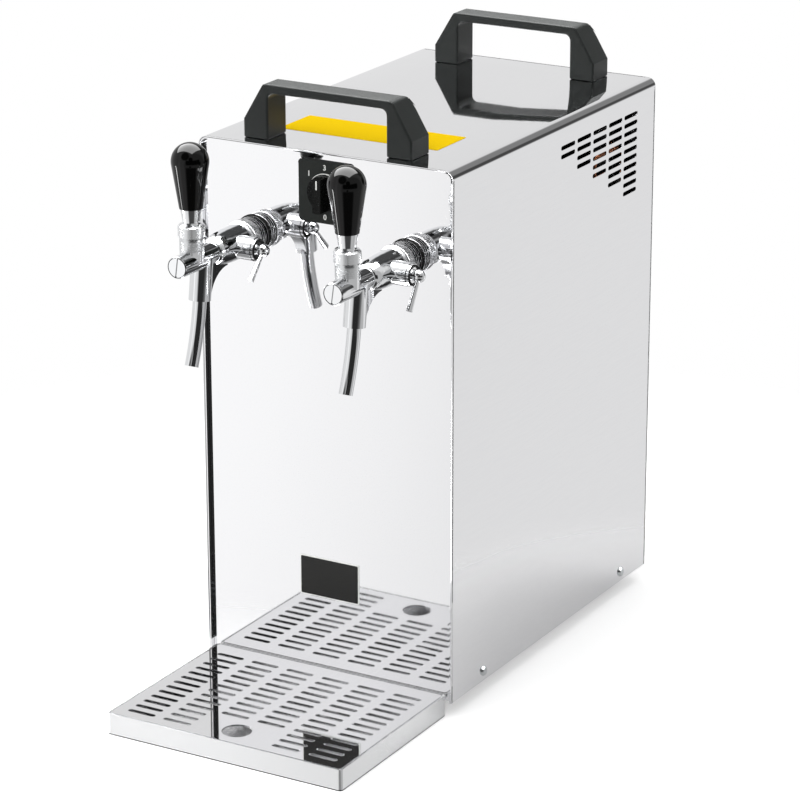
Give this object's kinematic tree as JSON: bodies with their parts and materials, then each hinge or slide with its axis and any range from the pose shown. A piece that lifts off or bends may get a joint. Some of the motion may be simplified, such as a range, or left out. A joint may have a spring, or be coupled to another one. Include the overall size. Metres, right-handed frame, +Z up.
{
  "type": "draft beer dispenser",
  "caption": "Upright steel dry beer cooler with compensator taps on its front, a thermostat, top carrying handles and a slotted drip tray in front.",
  "frame": {"origin": "on the counter, at the middle of the box round the cooler and its tray", "axes": "+Z up, the taps face -Y, +X towards the compensator arms"},
  "size_m": [0.2232, 0.5124, 0.475],
  "materials": {
    "polished_steel": "polished",
    "zinc_screw": "bright",
    "black_plastic": "satin",
    "black_phenolic": "gloss",
    "rubber": "matte",
    "grey_acetal": "satin",
    "aluminium": "satin",
    "black_enamel": "semi-gloss",
    "copper": "bright",
    "foam": "matte",
    "beer_hose": "satin",
    "chrome": "mirror"
  },
  "bodies": {
    "cabinet": {"base_pan": "polished_steel", "casing_wrap": "polished_steel", "front_panel": "polished_steel", "rear_panel": "polished_steel", "casing_screws": "zinc_screw", "handle_screws": "zinc_screw", "front_handle": "black_plastic", "rear_handle": "black_plastic", "thermostat_plate": "black_plastic", "terminal_box": "black_plastic", "fan_shroud": "black_plastic", "cable_gland": "black_plastic", "feet": "rubber", "compressor_mounts": "rubber", "left_inlet_fitting": "grey_acetal", "right_inlet_fitting": "grey_acetal", "cooling_block": "aluminium", "condenser": "aluminium", "fan_motor": "aluminium", "thermostat_body": "aluminium", "compressor": "black_enamel", "filter_drier": "copper", "discharge_line": "copper", "suction_line": "copper", "liquid_line": "copper", "capillary": "copper", "sensor_line": "copper", "insulation_jacket": "foam", "left_beer_line": "beer_hose", "right_beer_line": "beer_hose", "left_inlet_line": "beer_hose", "right_inlet_line": "beer_hose", "left_tap_shank": "chrome", "left_shank_nut": "chrome", "left_tap_collar": "chrome", "left_tap_body": "chrome", "left_lever_collar": "chrome", "left_tap_spout": "chrome", "left_front_cap": "chrome", "right_tap_shank": "chrome", "right_shank_nut": "chrome", "right_tap_collar": "chrome", "right_tap_body": "chrome", "right_lever_collar": "chrome", "right_tap_spout": "chrome", "right_front_cap": "chrome"},
    "fan": {"fan_blades": "black_plastic"},
    "thermostat_dial": {"thermostat_knob": "black_plastic"},
    "tray": {"drip_tray": "polished_steel"},
    "grid": {"drip_grid": "polished_steel"},
    "left_handle_lever": {"left_lever": "chrome", "left_grip": "black_phenolic"},
    "left_valve": {"left_plunger": "grey_acetal"},
    "left_compensator": {"left_compensator_lever": "chrome"},
    "left_throttle": {"left_compensator_cone": "grey_acetal"},
    "right_handle_lever": {"right_lever": "chrome", "right_grip": "black_phenolic"},
    "right_valve": {"right_plunger": "grey_acetal"},
    "right_compensator": {"right_compensator_lever": "chrome"},
    "right_throttle": {"right_compensator_cone": "grey_acetal"}
  },
  "joints": [
    {"name": "fan_spin", "type": "hinge", "parent": "cabinet", "child": "fan", "pos_m": [0, 0.18025, 0.306], "axis": [0, 1, 0], "continuous": true},
    {"name": "thermostat_turn", "type": "hinge", "parent": "cabinet", "child": "thermostat_dial", "pos_m": [0, -0.09875, 0.401], "axis": [0, 1, 0], "range_deg": [-60, 210]},
    {"name": "tray_pull", "type": "slide", "parent": "cabinet", "child": "tray", "axis": [0, -1, 0], "range_m": [0, 0.12]},
    {"name": "grid_lift", "type": "slide", "parent": "tray", "child": "grid", "axis": [0, 0, 1], "range_m": [0, 0.06]},
    {"name": "left_lever_swing", "type": "hinge", "parent": "cabinet", "child": "left_handle_lever", "pos_m": [-0.0645, -0.18375, 0.376], "axis": [1, 0, 0], "range_deg": [0, 17]},
    {"name": "left_valve_slide", "type": "slide", "parent": "cabinet", "child": "left_valve", "axis": [0, 1, 0], "range_m": [0, 0.00478]},
    {"name": "left_compensator_turn", "type": "hinge", "parent": "cabinet", "child": "left_compensator", "pos_m": [-0.0645, -0.13425, 0.36], "axis": [1, 0, 0], "range_deg": [-60, 60]},
    {"name": "left_throttle_slide", "type": "slide", "parent": "cabinet", "child": "left_throttle", "axis": [0, 1, 0], "range_m": [-0.0025, 0.0025]},
    {"name": "right_lever_swing", "type": "hinge", "parent": "cabinet", "child": "right_handle_lever", "pos_m": [0.0685, -0.18375, 0.376], "axis": [1, 0, 0], "range_deg": [0, 17]},
    {"name": "right_valve_slide", "type": "slide", "parent": "cabinet", "child": "right_valve", "axis": [0, 1, 0], "range_m": [0, 0.00478]},
    {"name": "right_compensator_turn", "type": "hinge", "parent": "cabinet", "child": "right_compensator", "pos_m": [0.0685, -0.13425, 0.36], "axis": [1, 0, 0], "range_deg": [-60, 60]},
    {"name": "right_throttle_slide", "type": "slide", "parent": "cabinet", "child": "right_throttle", "axis": [0, 1, 0], "range_m": [-0.0025, 0.0025]}
  ],
  "couplings": [
    {"joint": "left_valve_slide", "follows": "left_lever_swing", "m_per_rad": 0.015766},
    {"joint": "left_throttle_slide", "follows": "left_compensator_turn", "m_per_rad": -0.0020675},
    {"joint": "right_valve_slide", "follows": "right_lever_swing", "m_per_rad": 0.015766},
    {"joint": "right_throttle_slide", "follows": "right_compensator_turn", "m_per_rad": -0.0020675}
  ]
}
